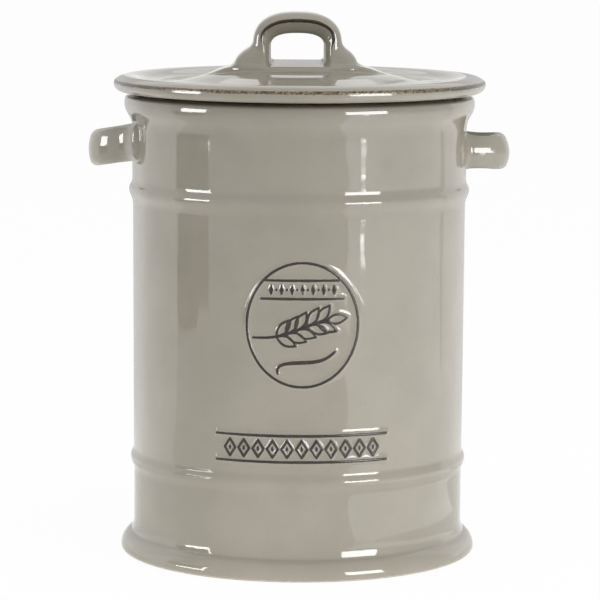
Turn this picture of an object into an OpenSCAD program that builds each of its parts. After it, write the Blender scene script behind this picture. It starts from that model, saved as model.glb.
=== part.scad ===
// Ceramic biscuit jar with a lift-off lid.
// Millimetres. Z is up, the jar stands on z = 0 and its axis is the Z axis.
// The decorated front faces -Y and the two ears point along -X and +X.

/* [Jar] */
// Diameter of the straight wall
wall_d = 146.4; // [120:0.2:170]
// Height of the jar from the table to its rim
jar_h = 203.5; // [185:0.5:240]
// Thickness of the wall
wall_t = 5.2; // [4:0.1:7]
// Thickness of the floor above the hollow of the base
floor_t = 5.5; // [4:0.5:10]
// Radius inside, where the wall meets the floor
bore_fillet = 14; // [4:0.5:24]
// How far the neck above the upper rib stands out past the wall
neck_step = 0.6; // [0:0.1:1.2]

/* [Foot] */
// How far the foot's roll stands out past the wall
foot_flare = 5.5; // [3:0.1:8]
// Height of the widest part of the roll
foot_belly_h = 2.9; // [2:0.1:4]
// Height of the crease above the roll
foot_h = 9.9; // [8:0.1:13]
// How far the crease stands out past the plinth
crease_step = 1.4; // [0.6:0.1:2.4]
// Height of the cove from the crease to the plinth
cove_h = 6; // [3:0.1:9]
// How far the plinth under the lower rib lies behind the wall
plinth_step = 0.5; // [0.2:0.1:1.2]
// Width of the unglazed ring that the jar stands on
foot_ring_w = 7.5; // [5:0.5:12]
// Depth of the hollow under the base
foot_hollow = 2; // [1:0.25:3.5]

/* [Ribs] */
// Height of the lower rib above the table
low_rib_h = 41.7; // [32:0.1:46]
// How far the lower rib stands out past the wall
low_rib_rise = 1.1; // [0.6:0.1:2]
// Width of the lower rib
low_rib_w = 10.4; // [7:0.1:13]
// Depth of the upper rib below the rim
up_rib_drop = 41.5; // [36:0.1:50]
// How far the upper rib stands out past the wall
up_rib_rise = 1.95; // [1.4:0.05:2.6]
// Width of the upper rib
up_rib_w = 9.4; // [7:0.1:12]

/* [Rim] */
// How far the rim stands out past the wall
rim_flare = 4.2; // [2.5:0.1:5]
// Radius of the roll at the top of the rim
rim_roll = 3.4; // [2:0.1:4]
// Height of the whole rim, with the cove that leads up to it
rim_h = 13; // [9:0.1:15]
// Radius of the rim's inner edge
rim_edge = 1.5; // [0.5:0.1:2.5]

/* [Ears] */
// How far an ear reaches out from the neck
ear_reach = 19.5; // [16:0.1:24]
// Depth of an ear's middle below the rim
ear_drop = 23.5; // [21:0.1:28]
// Height of the ear's strap
ear_h = 15; // [10:0.1:18]
// Thickness of the ear's strap
ear_t = 8.4; // [6:0.1:9.5]
// Crown of the strap's outer face
ear_crown = 3.3; // [1:0.1:4]
// Width over the bend, from front to back
ear_w = 32.5; // [26:0.1:36]
// Width over the roots on the neck, from front to back
ear_root_w = 50; // [42:0.5:58]
// How much taller than the strap an ear's roots are
ear_root_rise = 2.4; // [0:0.1:5]

/* [Lid] */
// Running clearance between the lid and the rim that it rests on
seat_gap = 0.3; // [0.1:0.05:0.5]
// How far the lid's edge stands out past the rim
lid_overhang = 4.6; // [2:0.1:7]
// Height of the sharp edge above the lid's seat
lid_edge_h = 4.1; // [3:0.1:5]
// How far the seat ends in from the edge
lid_under_in = 5.5; // [4:0.1:8]
// Height of the bead's crest above the lid's seat
bead_h = 7.9; // [7:0.1:10]
// How far the crest lies in from the edge
bead_in = 6; // [4:0.1:8]
// Height of the channel's bottom above the lid's seat
channel_h = 4.9; // [4.5:0.1:6.4]
// How far the channel's bottom lies in from the edge
channel_in = 21; // [17:0.5:23]
// Height of the flat top above the lid's seat
top_h = 11.3; // [9:0.1:13]
// Diameter of the flat top, which carries the handle
top_d = 60; // [57:0.5:66]
// Thickness of the lid under its flat top
lid_t = 5; // [3.5:0.1:6]

/* [Lid flange] */
// Gap between the flange and the jar's bore
flange_gap = 4; // [2.5:0.1:6]
// Thickness of the flange
flange_t = 5.4; // [4.5:0.1:7]
// Depth of the flange below the lid's seat
flange_h = 14; // [12:0.5:18]
// Radius of the flange's lower edges
flange_edge = 1.6; // [0.5:0.1:2.2]

/* [Seal] */
// Depth of the groove for the seal
groove_t = 1.8; // [1:0.1:2.5]
// Height of the groove
groove_w = 7; // [5:0.1:8]
// Depth of the groove's middle below the lid's seat
groove_drop = 6.5; // [5.5:0.1:7]
// Clearance all round the seal in its groove
seal_gap = 0.1; // [0.05:0.05:0.2]
// Thickness of the seal's band
seal_t = 2.4; // [1.9:0.1:3]
// Number of fins
fin_count = 3; // [2:1:4]
// Thickness of a fin at its root
fin_t = 1.2; // [0.8:0.1:1.4]
// Rise of a fin from its root to its tip
fin_rise = 0.9; // [0.2:0.1:1.2]
// Clearance between the fins and the jar's bore
fin_gap = 0.3; // [0.1:0.05:0.5]

/* [Lid handle] */
// Height of the handle above the flat top
grip_h = 24.3; // [22:0.1:30]
// Width over the legs
grip_w = 39.2; // [35:0.1:42]
// Width over the feet
grip_foot_w = 54; // [46:0.5:56]
// Width of the finger hole
hole_w = 23.6; // [18:0.1:26]
// Height of the finger hole above the saddle
hole_h = 12; // [9:0.1:13]
// Height above the saddle at which the legs turn into the arch
spring_h = 6.4; // [3:0.1:7]
// Width of the strap, from front to back
grip_y = 21; // [14:0.5:26]
// Width of the feet, from front to back
grip_foot_y = 26; // [21:0.5:32]
// Crown of the strap's outer face
grip_crown = 3.2; // [1:0.1:4]
// Height of the saddle that joins the feet
saddle_h = 3.5; // [2:0.1:4]
// Length of the saddle, with its ends outside the feet
saddle_l = 65; // [57:0.5:66]
// Width of the saddle, from front to back
saddle_y = 27; // [22:0.5:32]

/* [Front roundel] */
// Height of the relief above the wall
relief_h = 0.9; // [0.4:0.1:1.5]
// Width of the relief's lines
line_w = 1.5; // [0.8:0.1:2]
// Width of the oval
oval_w = 49; // [46:0.5:56]
// Height of the oval
oval_h = 54.5; // [52:0.5:62]
// Height of the oval's middle above the table
oval_z = 109.2; // [100:0.5:115]
// Length of the two rules in the oval
rule_l = 31; // [24:0.5:33]
// Height of the upper rule above the oval's middle
rule_z = 19; // [18:0.1:20]
// Distance between the two rules
rule_gap = 7.8; // [6:0.1:9]
// Number of beads between the rules
bead_count = 7; // [3:1:9]
// Diameter of a bead
bead_d = 2; // [1:0.1:2.6]
// Length of the wheat's stem
stem_l = 35; // [28:0.5:36]
// Length of a grain
grain_l = 7; // [4:0.1:8]
// Width of a grain
grain_w = 2.7; // [1.4:0.1:3.2]
// Number of pairs of grains
grain_pairs = 6; // [3:1:7]
// Length of the swash under the wheat
swash_l = 26; // [16:0.5:28]

/* [Front band] */
// Length of the band's lines, measured round the wall
band_l = 76; // [70:1:90]
// Distance between the band's two lines
band_w = 11.1; // [9:0.1:13]
// Height of the band's middle above the table
band_z = 56.2; // [55:0.1:60]
// Number of lozenges in the band
lozenge_count = 11; // [7:2:13]
// Width of a lozenge
lozenge_w = 4.6; // [3:0.1:5]
// Height of a lozenge
lozenge_h = 6.2; // [4:0.1:6.8]

/* [Hidden] */
$fn = 144;

glaze = [0.66, 0.64, 0.59];
dark_glaze = [0.40, 0.37, 0.32];
silicone = [0.86, 0.85, 0.82];

// Segments in a round stretch of a profile, and in half a grain
arc_steps = 7;
grain_steps = 6;
// Segments in a stroke and in an oval
stroke_steps = 14;
oval_steps = 90;
// Points across one face of a strap
strap_steps = 9;
// Rings in half a bend, and in a strap's leg
bend_steps = 9;
leg_steps = 6;
// Rings in half the saddle
saddle_steps = 6;
// Points of an outline that are closer than this are one point
weld_gap = 0.001;
// How far a cutting tool runs past what it cuts
cut_margin = 1;

// Jar
wall_r = wall_d / 2;
bore_r = wall_r - wall_t;
neck_r = wall_r + neck_step;
plinth_r = wall_r - plinth_step;
crease_r = plinth_r + crease_step;
foot_r = wall_r + foot_flare;
ring_out = foot_r - foot_belly_h;
ring_in = ring_out - foot_ring_w;
floor_z = foot_hollow + floor_t;
low_rib_r = wall_r + low_rib_rise;
up_rib_r = wall_r + up_rib_rise;
up_rib_z = jar_h - up_rib_drop;
rim_r = wall_r + rim_flare;
rim_cove_z = jar_h - rim_h;
rim_roll_z = jar_h - rim_roll;
// Share of the rim's cove that curves outwards
rim_cove_share = 0.78;

// Ears. Roundness of a strap's inner face: 2 is an ellipse, and more is squarer.
ear_round = 2.8;
ear_z = jar_h - ear_drop;
ear_bend_r = ear_w / 2;
ear_bend_x = neck_r + ear_reach - ear_bend_r;
ear_root_x = sqrt(pow(neck_r, 2) - pow(ear_root_w / 2, 2));
ear_spread = ear_root_w / 2 - ear_bend_r;
// How deep in the neck a strap starts before it is cut to the wall
ear_start = 2.5;

// Lid, with heights from the seat that rests on the rim
seat_z = jar_h + seat_gap;
lid_r = rim_r + lid_overhang;
edge_z = seat_z + lid_edge_h;
bead_r = lid_r - bead_in;
bead_z = seat_z + bead_h;
channel_r = lid_r - channel_in;
channel_z = seat_z + channel_h;
top_r = top_d / 2;
top_z = seat_z + top_h;
under_z = top_z - lid_t;
// Shares of the slopes between the channel and the flat top that curve upwards
slope_share = 0.36;
under_share = 0.65;
flange_out = bore_r - flange_gap;
flange_in = flange_out - flange_t;
flange_z = seat_z - flange_h;

// Seal and its groove
groove_r = flange_out - groove_t;
groove_top = seat_z - groove_drop + groove_w / 2;
groove_bottom = groove_top - groove_w;
seal_in = groove_r + seal_gap;
seal_out = seal_in + seal_t;
seal_top = groove_top - seal_gap;
seal_bottom = groove_bottom + seal_gap;
fin_r = bore_r - fin_gap;
fin_pitch = (seal_top - seal_bottom) / fin_count;
fin_tip_t = fin_t / 2;

// Lid handle, with heights from the flat top. Roundness of its section, hole and outline.
grip_round = 2.4;
hole_round = 2.4;
grip_outer_round = 2.9;
grip_foot_power = 2.6;
grip_spring_z = saddle_h + spring_h;
hole_top_z = saddle_h + hole_h;
// Roundness of the saddle, seen from above
saddle_round = 4;

// Relief
relief_r = wall_r + relief_h;
stem_rise = 7;
stem_bow = 1.3;
stem_w = 1.1;
stem_drop = 1.4;
stem_shift = grain_l / 4;
// Width of a stroke's ends, as a share of its full width
stroke_tip = 0.35;
// Half the step along a wave that gives its direction
wave_step = 0.01;
grain_angle = 33;
grain_start = 0.3;
swash_rise = 6;
swash_bow = 1.6;
swash_w = 1.3;
swash_drop = 13.5;
// Half the angle that the band's lines take round the wall
band_turn = band_l / wall_r * 90 / PI;

function reversed(points) = [for (i = [len(points) - 1:-1:0]) points[i]];

// Arc that runs along Z at its start [r0, z0] and passes through its end [r1, z1]
function swell(r0, z0, r1, z1) =
    let (turn = 2 * atan((r0 - r1) / (z1 - z0)), radius = (z1 - z0) / sin(turn))
    [
        for (i = [0:arc_steps])
            let (a = turn * i / arc_steps) [r0 - radius * (1 - cos(a)), z0 + radius * sin(a)]
    ];

// Arc that is level at its start [r0, z0] and passes through its end [r1, z1]
function bow(r0, z0, r1, z1) = [for (p = swell(z0, r0, z1, r1)) [p.y, p.x]];

// S from [r0, z0] to [r1, z1] in two arcs that run along Z at both ends. The first arc takes
// its share of the way.
function upright_s(r0, z0, r1, z1, share) =
    let (r = r0 + (r1 - r0) * share, z = z0 + (z1 - z0) * share)
    concat(swell(r0, z0, r, z), reversed(swell(r1, z1, r, z)));

// The same S, level at both ends
function level_s(r0, z0, r1, z1, share) =
    [for (p = upright_s(z0, r0, z1, r1, share)) [p.y, p.x]];

// A rib round the wall: its lower foot, its crest and its upper foot
function rib(r_below, r_crest, r_above, z, w) = concat(
    reversed(swell(r_crest, z, r_below, z - w / 2)),
    swell(r_crest, z, r_above, z + w / 2)
);

// The same outline with each point that repeats the one before it left out
function welded(points) = [
    for (i = [0:len(points) - 1])
        if (i == 0 || norm(points[i] - points[max(i - 1, 0)]) > weld_gap) points[i]
];

// Point of a superellipse at an angle, with half axes a and b
function superellipse(a, b, round, angle) =
    let (c = cos(angle), s = sin(angle))
    [a * sign(c) * pow(abs(c), 2 / round), b * sign(s) * pow(abs(s), 2 / round)];

// Section across a strap as [across, out] pairs: the outer face is crowned and ends in two
// sharp edges, and the inner face is round. "out" is 0 on the inner face and t on the outer one.
function strap_section(w, t, crown, round) = concat(
    [
        for (i = [0:strap_steps - 1])
            let (s = -cos(180 * i / strap_steps)) [s * w / 2, t - crown * s * s]
    ],
    [
        for (i = [0:strap_steps - 1])
            let (s = cos(180 * i / strap_steps))
            [s * w / 2, (t - crown) * (1 - pow(1 - pow(abs(s), round), 1 / round))]
    ]
);

// Strap lofted through stations of [inner point, outer point, width, crown]. The points lie in
// the XY plane and the strap's width runs along Z.
module strap(stations, round) {
    count = 2 * strap_steps;
    points = [
        for (station = stations)
            let (out = station[1] - station[0], t = norm(out))
            for (p = strap_section(station[2], t, station[3], round))
                [
                    station[0].x + out.x / t * p[1],
                    station[0].y + out.y / t * p[1],
                    p[0]
                ]
    ];
    sides = [
        for (i = [0:len(stations) - 2])
            for (j = [0:count - 1])
                let (k = (j + 1) % count)
                [i * count + j, i * count + k, (i + 1) * count + k, (i + 1) * count + j]
    ];
    // Both ends' faces start at the crest, which is in line with no other two points
    crest = floor(strap_steps / 2);
    first = [for (j = [0:count - 1]) (crest + count - j) % count];
    last = [for (j = [0:count - 1]) (len(stations) - 1) * count + (crest + j) % count];
    polyhedron(points = points, faces = concat([first], sides, [last]), convexity = 4);
}

module jar_body() {
    color(glaze)
    rotate_extrude(convexity = 6)
    polygon(welded(concat(
        [[0, foot_hollow], [ring_in, foot_hollow], [ring_in, 0]],
        reversed(swell(foot_r, foot_belly_h, ring_out, 0)),
        swell(foot_r, foot_belly_h, crease_r, foot_h),
        reversed(swell(plinth_r, foot_h + cove_h, crease_r, foot_h)),
        rib(plinth_r, low_rib_r, wall_r, low_rib_h, low_rib_w),
        rib(wall_r, up_rib_r, neck_r, up_rib_z, up_rib_w),
        upright_s(neck_r, rim_cove_z, rim_r, rim_roll_z, rim_cove_share),
        swell(rim_r, rim_roll_z, rim_r - rim_roll, jar_h),
        reversed(swell(bore_r, jar_h - rim_edge, bore_r + rim_edge, jar_h)),
        swell(bore_r, floor_z + bore_fillet, bore_r - bore_fillet, floor_z),
        [[0, floor_z]]
    )));
}

// Stations of half an ear, from inside the neck's wall to the tip of the bend. The side is -1
// for the front half and 1 for the back half, which leaves the tip's own station out.
function ear_half(side) = concat(
    [
        for (x = [ear_root_x - ear_start, for (i = [0:leg_steps - 1])
            ear_root_x + (ear_bend_x - ear_root_x) * i / leg_steps])
            let (q = min((ear_bend_x - x) / (ear_bend_x - ear_root_x), 1))
            [
                [x, side * (ear_bend_r - ear_t)],
                [x, side * (ear_bend_r + ear_spread * (1 - sqrt(1 - q * q)))],
                ear_h + ear_root_rise * q * q,
                ear_crown
            ]
    ],
    [
        for (i = [0:side < 0 ? bend_steps : bend_steps - 1])
            let (a = 90 - 90 * i / bend_steps, out = [cos(a), side * sin(a)])
            [
                [ear_bend_x, 0] + out * (ear_bend_r - ear_t),
                [ear_bend_x, 0] + out * ear_bend_r,
                ear_h,
                ear_crown
            ]
    ]
);

// The ear on the +X side: a strap bent round from the neck and back, cut to the neck's wall
module ear() {
    difference() {
        translate([0, 0, ear_z])
        strap(concat(ear_half(-1), reversed(ear_half(1))), ear_round);
        cylinder(r = neck_r, h = jar_h);
    }
}

module left_ear() {
    color(glaze)
    mirror([1, 0, 0])
    ear();
}

module right_ear() {
    color(glaze)
    ear();
}

// Cuts a drawing through the wall's front down to a thin relief on it. The drawing's X runs
// round the front to the right and its Y runs up from the middle height z.
module raised_on_front(z, h) {
    intersection() {
        translate([0, 0, z])
        rotate([90, 0, 0])
        linear_extrude(relief_r + cut_margin)
        children();
        translate([0, 0, z - h / 2])
        difference() {
            cylinder(r = relief_r, h = h);
            translate([0, 0, -cut_margin])
            cylinder(r = wall_r, h = h + 2 * cut_margin);
        }
    }
}

module oval(w, h) {
    polygon([
        for (i = [1:oval_steps])
            let (a = 360 * i / oval_steps) [w / 2 * cos(a), h / 2 * sin(a)]
    ]);
}

// Point at t = 0 to 1 along a line that rises over its length and bows down and then up
function wave(l, rise, bow, t) = [(t - 0.5) * l, (t - 0.5) * rise - bow * sin(360 * t)];

function wave_angle(l, rise, bow, t) =
    let (d = wave(l, rise, bow, t + wave_step) - wave(l, rise, bow, t - wave_step))
    atan2(d.y, d.x);

// A brush stroke along a wave, full in the middle and thin at both ends
module stroke(l, rise, bow, w) {
    half = [
        for (i = [0:stroke_steps])
            let (t = i / stroke_steps, full = stroke_tip + (1 - stroke_tip) * sin(180 * t))
            [wave(l, rise, bow, t), w / 2 * full]
    ];
    polygon(concat(
        [for (p = half) p[0] + [0, p[1]]],
        reversed([for (p = half) p[0] - [0, p[1]]])
    ));
}

// A seed from the origin along X, pointed at both ends
module grain() {
    half = [
        for (i = [0:grain_steps])
            let (t = i / grain_steps) [grain_l * t, grain_w / 2 * sin(180 * t)]
    ];
    polygon(welded(concat(half, [for (p = reversed(half)) [p.x, -p.y]])));
}

module wheat() {
    stroke(stem_l, stem_rise, stem_bow, stem_w);
    for (i = [0:grain_pairs])
        let (t = grain_start + (1 - grain_start) * i / grain_pairs)
        translate(wave(stem_l, stem_rise, stem_bow, t))
        rotate(wave_angle(stem_l, stem_rise, stem_bow, t))
        for (side = i < grain_pairs ? [-1, 1] : [0])
            rotate(side * grain_angle)
            grain();
}

module roundel_drawing() {
    difference() {
        oval(oval_w, oval_h);
        oval(oval_w - 2 * line_w, oval_h - 2 * line_w);
    }
    for (y = [rule_z, rule_z - rule_gap])
        translate([-rule_l / 2, y - line_w / 2])
        square([rule_l, line_w]);
    for (i = [1:bead_count])
        translate([rule_l * (i / (bead_count + 1) - 0.5), rule_z - rule_gap / 2])
        circle(d = bead_d);
    translate([-stem_shift, -stem_drop])
    wheat();
    translate([0, -swash_drop])
    stroke(swash_l, swash_rise, swash_bow, swash_w);
}

module front_roundel() {
    color(dark_glaze)
    raised_on_front(oval_z, oval_h + 2 * cut_margin)
    roundel_drawing();
}

module lozenges() {
    pitch = wall_r * sin(band_turn) * 2 / (lozenge_count + 1);
    for (i = [1:lozenge_count])
        translate([pitch * (i - (lozenge_count + 1) / 2), 0])
        polygon([
            [-lozenge_w / 2, 0],
            [0, -lozenge_h / 2],
            [lozenge_w / 2, 0],
            [0, lozenge_h / 2]
        ]);
}

module front_band() {
    color(dark_glaze) {
        for (side = [-1, 1])
            rotate([0, 0, 270 - band_turn])
            rotate_extrude(angle = 2 * band_turn)
            translate([wall_r, band_z + side * band_w / 2 - line_w / 2])
            square([relief_h, line_w]);
        raised_on_front(band_z, band_w)
        lozenges();
    }
}

module lid_disc() {
    color(glaze)
    rotate_extrude(convexity = 6)
    polygon(welded(concat(
        bow(lid_r - lid_under_in, seat_z, lid_r, edge_z),
        reversed(bow(bead_r, bead_z, lid_r, edge_z)),
        level_s(bead_r, bead_z, channel_r, channel_z, 0.5),
        level_s(channel_r, channel_z, top_r, top_z, slope_share),
        [[0, top_z], [0, under_z]],
        level_s(top_r - lid_t, under_z, flange_in, seat_z, under_share),
        swell(flange_in, flange_z + flange_edge, flange_in + flange_edge, flange_z),
        reversed(swell(flange_out, flange_z + flange_edge, flange_out - flange_edge, flange_z)),
        [[flange_out, groove_bottom], [groove_r, groove_bottom]],
        [[groove_r, groove_top], [flange_out, groove_top], [flange_out, seat_z]]
    )));
}

// Stations of the handle's arch, from the left foot up its leg, over the top and down again
function arch_stations() =
    let (
        leg = [
            for (i = [0:leg_steps - 1])
                let (v = i / leg_steps, foot = 1 - pow(v, grip_foot_power))
                [
                    [hole_w / 2, grip_spring_z * v],
                    [(grip_w + (grip_foot_w - grip_w) * foot) / 2, grip_spring_z * v],
                    grip_y + (grip_foot_y - grip_y) * (1 - v) * (1 - v),
                    grip_crown
                ]
        ],
        arch = [
            for (i = [0:2 * bend_steps])
                let (a = 90 * i / bend_steps, spring = [0, grip_spring_z])
                [
                    spring + superellipse(hole_w / 2, hole_top_z - spring.y, hole_round, a),
                    spring + superellipse(grip_w / 2, grip_h - spring.y, grip_outer_round, a),
                    grip_y,
                    grip_crown
                ]
        ]
    )
    concat(leg, arch, reversed([for (s = leg) [[-s[0].x, s[0].y], [-s[1].x, s[1].y], s[2], s[3]]]));

// Stations of the saddle, which is flat underneath and thins out to both ends
function saddle_stations() = [
    for (i = [1 - saddle_steps:saddle_steps - 1])
        let (
            a = 90 * i / saddle_steps,
            x = saddle_l / 2 * sin(a),
            h = saddle_h * cos(a),
            y = saddle_y * pow(1 - pow(abs(sin(a)), saddle_round), 1 / saddle_round)
        )
        [[-x, 0], [-x, h], y, h]
];

module lid_handle() {
    color(glaze)
    translate([0, 0, top_z])
    rotate([90, 0, 0]) {
        strap(arch_stations(), grip_round);
        strap(saddle_stations(), grip_round);
    }
}

module lid_seal() {
    color(silicone)
    rotate_extrude(convexity = 6)
    polygon(concat(
        [[seal_in, seal_top], [seal_in, seal_bottom], [seal_out, seal_bottom]],
        [
            for (i = [0:fin_count - 1])
                let (z = seal_bottom + fin_pitch * (i + 0.5) - fin_rise / 2)
                each [
                    [seal_out, z - fin_t / 2],
                    [fin_r, z + fin_rise - fin_tip_t / 2],
                    [fin_r, z + fin_rise + fin_tip_t / 2],
                    [seal_out, z + fin_t / 2]
                ]
        ],
        [[seal_out, seal_top]]
    ));
}

jar_body();
left_ear();
right_ear();
front_roundel();
front_band();
lid_disc();
lid_handle();
lid_seal();
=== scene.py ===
"""Glazed ceramic biscuit jar with a lift-off lid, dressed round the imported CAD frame.

Shapes are worked out in millimetres, on the jar's axis, and become metres when a piece is made.
The decorated front faces -Y and the ears point along -X and +X, as in the frame. The studio round
the jar is in metres from the start.
"""
import math

import bpy
import numpy as np
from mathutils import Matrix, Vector

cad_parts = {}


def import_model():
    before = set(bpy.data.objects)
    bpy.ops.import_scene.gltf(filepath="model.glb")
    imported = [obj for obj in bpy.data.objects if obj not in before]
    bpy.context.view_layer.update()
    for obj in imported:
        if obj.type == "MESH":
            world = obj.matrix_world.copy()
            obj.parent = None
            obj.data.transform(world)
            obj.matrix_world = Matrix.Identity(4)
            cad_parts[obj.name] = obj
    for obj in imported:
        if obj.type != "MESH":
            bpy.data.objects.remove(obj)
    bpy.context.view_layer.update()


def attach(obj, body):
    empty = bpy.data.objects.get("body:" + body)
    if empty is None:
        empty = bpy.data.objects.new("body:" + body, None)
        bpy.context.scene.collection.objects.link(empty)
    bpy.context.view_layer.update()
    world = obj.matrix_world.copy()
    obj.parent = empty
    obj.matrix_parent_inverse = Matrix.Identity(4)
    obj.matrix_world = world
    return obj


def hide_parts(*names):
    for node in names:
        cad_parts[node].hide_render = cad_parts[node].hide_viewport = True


MM = 0.001

# Turned outlines: the radius of their innermost row, and how far their corners are softened
CENTRE_R = 0.4
JAR_SOFT, LID_SOFT, UNDER_SOFT, SEAL_SOFT = 0.45, 0.3, 0.2, 0.12

# Jar, from the table up
FOOT_R, FOOT_BELLY_Z = 79.0, 1.7
RING_OUT_R, RING_IN_R, FOOT_HOLLOW = 77.9, 68.3, 2.0
CREASE_R, CREASE_Z = 74.1, 8.7
PLINTH_R, PLINTH_Z = 73.1, 14.6
WALL_R, WALL_TOP_R = 73.2, 73.5
LOW_RIB_R, LOW_RIB_Z, LOW_RIB_FALL = 74.6, 41.7, 6.2
UP_RIB_R, UP_RIB_Z, UP_RIB_FALL = 75.25, 161.3, 7.0
RIB_RISE, RIB_SHARE = 4.6, 0.4
NECK_R, NECK_TOP_Z, NECK_SHARE = 73.8, 188.0, 0.55
RIM_R, RIM_BELLY_Z, RIM_EDGE_R, RIM_EDGE_Z = 77.3, 199.3, 76.8, 201.8
RIM_LAND_R, RIM_LAND_Z, JAR_TOP_R, JAR_TOP_Z = 75.2, 202.4, 71.0, 203.4
BORE_R, BORE_TOP_R, BORE_EDGE, FLOOR_Z, FLOOR_FILLET = 68.0, 69.5, 1.5, 7.5, 14.0

# Bare clay at the foot: how high it reaches, and the height over which the glaze sets in
RAW_H, RAW_FADE = 1.0, 0.6

# Lid, from its seat up. Its top is a row of arcs from the axis out, by radius and turn in degrees
SEAT_Z, SEAT_OUT_R = 203.8, 71.0
LID_UNDER_R, LID_UNDER_Z = 72.0, 204.1
LID_R, LID_TURN_IN, LID_TURN_UP = 82.0, 4.0, 3.0
LID_ARRIS_R, LID_ARRIS_Z = 81.8, 208.8
BEAD_R, BEAD_Z = 76.0, 211.3
CHANNEL_R, CHANNEL_Z = 60.5, 208.6
TOP_Z, TOP_ARCS = 213.7, [(537, -3.2), (71, -12.8), (41, 16.0)]
UNDER_R, UNDER_Z, UNDER_SHARE = 40.0, 208.3, 0.65
FLANGE_OUT_R, FLANGE_IN_R, FLANGE_Z, FLANGE_ROUND = 64.0, 58.6, 189.8, 1.6
GROOVE_R, GROOVE_TOP_Z, GROOVE_LOW_Z = 62.2, 200.8, 193.8

# Wear along the lid's arris: its reach at the sides is more than at the front and back, painted shade
# that widens the dark brown at the sides
LID_WEAR_W, LID_WEAR_SHADE_SWING = 1.08, 0.08

# Seal in the flange's groove
SEAL_IN_R, SEAL_OUT_R, SEAL_TOP_Z, SEAL_LOW_Z = 62.3, 64.7, 200.7, 193.9
FIN_R, FIN_COUNT, FIN_ROOT_T, FIN_RISE = 67.6, 3, 1.2, 0.9

# Handle on the lid, with heights from the pad's top. Its arris turns out more from EDGE_Z up
GRIP_BASE_Z, GRIP_X = 214.8, -1.2
GRIP_H, GRIP_W, GRIP_FOOT, GRIP_FOOT_POWER = 24.5, 39.2, (27.9, 26.6), 2.4
HOLE_W, HOLE_TOP, SPRING, ARCH_POWER = 23.2, 15.1, 9.7, 2.5
GRIP_Y, GRIP_FOOT_Y, GRIP_CORNER, GRIP_CROWN = 21.0, 26.0, 3.9, 0.3
GRIP_EDGE, GRIP_EDGE_RISE, EDGE_Z, EDGE_REACH = 3.0, 2.8, 8.0, 9.0
GRIP_WEAR_W, GRIP_WEAR_Z, GRIP_WEAR_FADE = 0.6, 6.5, 5.0
PAD_L, PAD_Y, PAD_POWER, PAD_ROUND = 80.0, 28.5, 2.2, 1.6
PAD_END_X, PAD_END_FALL = 27.0, 0.03
RIDGE_FOOT, RIDGE_RISE, RIDGE_Y, RIDGE_X, RIDGE_POWERS = 0.6, 2.7, 13.0, 30.0, (5, 1.15)

# Ears on the neck. A strap's outside turns through its bend, flares the other way, runs along its
# pad and turns into the wall
EAR_TIP_X, EAR_BEND_R, EAR_T = 93.1, 16.2, 8.4
EAR_H, EAR_ROOT_H, EAR_SPREAD, EAR_EDGE = 16.4, 17.0, 6.0, 4.0
EAR_WEAR, EAR_WEAR_W = 0.62, 0.8
EAR_ROOT_L, EAR_ROOT_DEPTH = 6.0, 12.0

# Each ear's own shape. z is its middle at the neck. droop, tilt and lean are slopes along X, along
# Y and across its face, which corner and crown round off. bend and flare are arcs by radius and
# turn in degrees. pad is a length. end is an arc by radius and the heading it ends at, where 90
# points straight at the wall
EARS = {
    "left": {"sign": -1, "z": 181.4, "droop": 0.155, "tilt": -0.07, "lean": 0.0, "corner": 2.9,
             "crown": 1.7, "bend": [(16.25, 75)], "flare": (9.3, 45), "pad": 3.4, "end": (2.6, 86)},
    "right": {"sign": 1, "z": 178.7, "droop": 0.03, "tilt": -0.024, "lean": 0.06, "corner": 2.1,
              "crown": 2.6, "bend": [(12.6, 64), (35, 17), (5.0, 3)], "flare": (3.2, 60), "pad": 4.4,
              "end": (1.8, 92)},
}

# Modelled solids: their grid, and the skirt that runs on under the glaze of what carries them
GRID_STEP, SINK, SKIRT_T, GRIP_SKIRT, EAR_SKIRT = 0.45, 0.03, 1.2, 1.6, 1.8
GRIP_ROUND, FOOT_BLEND, GRIP_FILLET, EAR_ROUND, EAR_FILLET = 0.7, 2.4, 2.0, 0.8, 1.1
GRIP_BOX_X, GRIP_BOX_Y, GRIP_BOX_DEPTH = 47.0, 19.0, 5.7
EAR_BOX_DEPTH, EAR_BOX_Y, EAR_BOX_Z, BOX_MARGIN = 14.0, 31.0, 14.0, 1.0

# Relief on the front, as heights above the wall and places round it. Its strong strokes stand on
# ridges and its fine ones on lower slopes. Both have a crest, with a stain beside it
RIDGE_H, RIDGE_W, SLOPE_H, SLOPE_W = 0.55, 1.5, 0.30, 1.3
CREST_H, CREST_W, STAIN_W = 0.35, 0.55, 0.5
LINE_W, GRAIN_LINE_W, RULE_WIDTHS = 0.35, 0.25, (0.2, 0.5, 0.2)
OVAL_W, OVAL_H, OVAL_Z, OVAL_MARGIN = 49.0, 54.5, 110.0, 5.0
RULE_L, RULE_Z, RULE_GAP, RULE_GROWTH = 31.0, 19.0, 7.8, 2.0
SEEDS, SEED_H, SEED_WIDTHS = 7, 3.6, (0.1, 1.3, 0.1)
BEAD_H, BEAD_WIDTHS = 0.1, (0.45, 0.45)
STEM_L, STEM_RISE, STEM_BOW, STEM_SHIFT = 40.0, 8.0, 1.3, (-1.0, -1.6)
GRAIN_PAIRS, GRAIN_L, GRAIN_W, GRAIN_LEAN = 5, 9.2, 3.9, 38
SWASH = [(-10.3, -20.7), (-10.9, -18.9), (-9.4, -17.2), (-6.5, -16.4), (-2.5, -16.1), (3.4, -15.9),
         (8.0, -15.2), (11.3, -13.6), (13.8, -11.5)]
BAND_L, BAND_W, BAND_Z, BAND_MARGIN_L, BAND_MARGIN_W = 75.0, 11.3, 56.8, 4.0, 3.2
LOZENGES, LOZENGE_W, LOZENGE_H = 11, 4.8, 7.4
PIP_H, PIP_WIDTHS = 1.0, (0.25, 0.25)

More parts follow.
